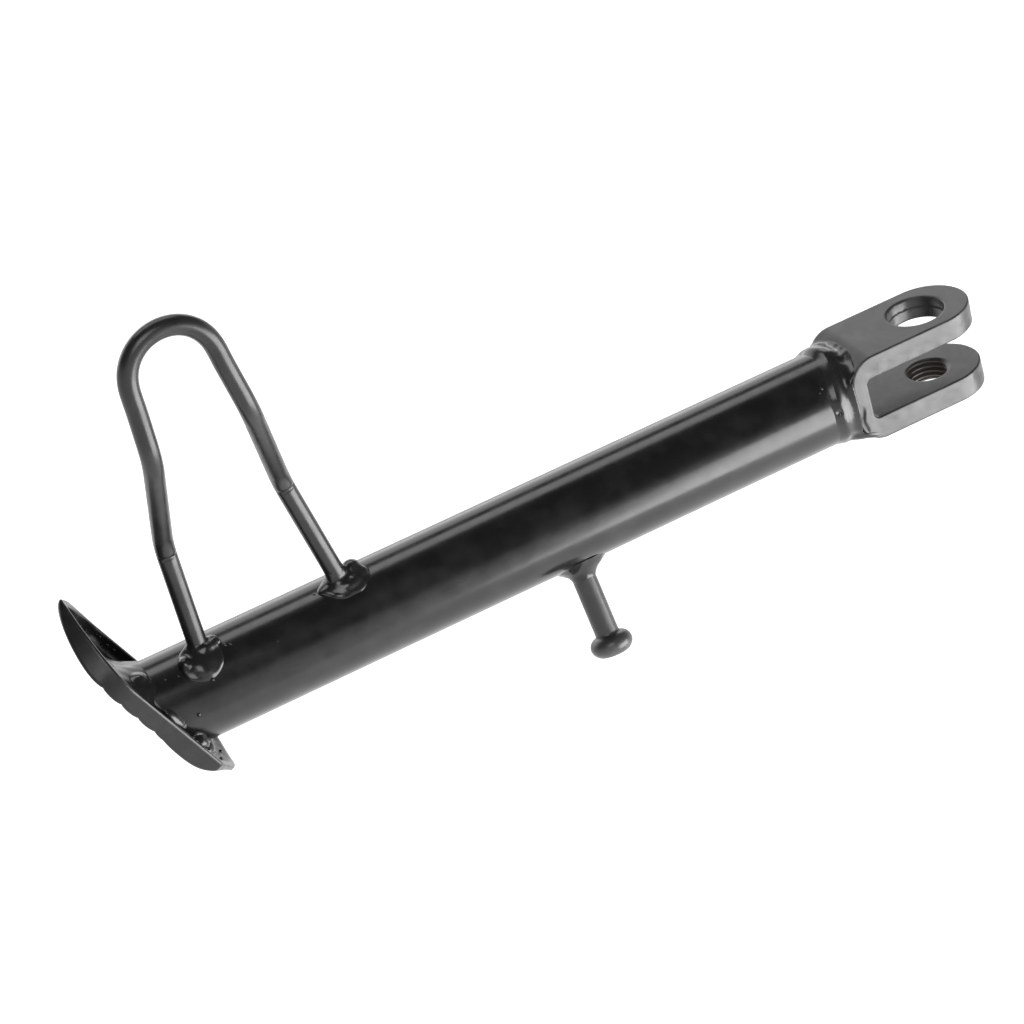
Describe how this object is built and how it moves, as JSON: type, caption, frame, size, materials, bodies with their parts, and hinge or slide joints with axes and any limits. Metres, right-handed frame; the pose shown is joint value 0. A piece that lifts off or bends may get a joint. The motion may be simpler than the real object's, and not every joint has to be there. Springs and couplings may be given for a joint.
{
  "type": "side stand",
  "caption": "Round leg tube with a bored and threaded pivot fork, a bent-rod toe loop, a headed spring peg and a pressed, dished foot plate.",
  "frame": {"origin": "middle of the plain pivot bore, in the fork ear on the toe loop's side; the leg tube's axis lies 9.425 mm below it", "axes": "+X along the leg tube from the foot to the fork, +Z along the pivot axis towards the toe loop, +Y completing a right-handed frame"},
  "size_m": [0.2649, 0.0465, 0.1491],
  "materials": {
    "tube_paint": "semi-gloss black powder coat",
    "fork_paint": "satin black coat over thick strap",
    "rod_paint": "semi-gloss black powder coat",
    "peg_paint": "semi-gloss black powder coat",
    "foot_paint": "satin black powder coat",
    "weld_bead": "glossy black coat pooled over rough weld"
  },
  "bodies": {
    "root": {"leg_tube": "tube_paint", "pivot_fork": "fork_paint", "fork_weld_upper": "weld_bead", "fork_weld_lower": "weld_bead", "toe_loop": "rod_paint", "toe_loop_weld_foot": "weld_bead", "toe_loop_weld_fork": "weld_bead", "spring_peg": "peg_paint", "spring_peg_weld": "weld_bead", "foot_plate": "foot_paint", "foot_weld_outer": "weld_bead", "foot_weld_inner": "weld_bead"}
  },
  "joints": []
}
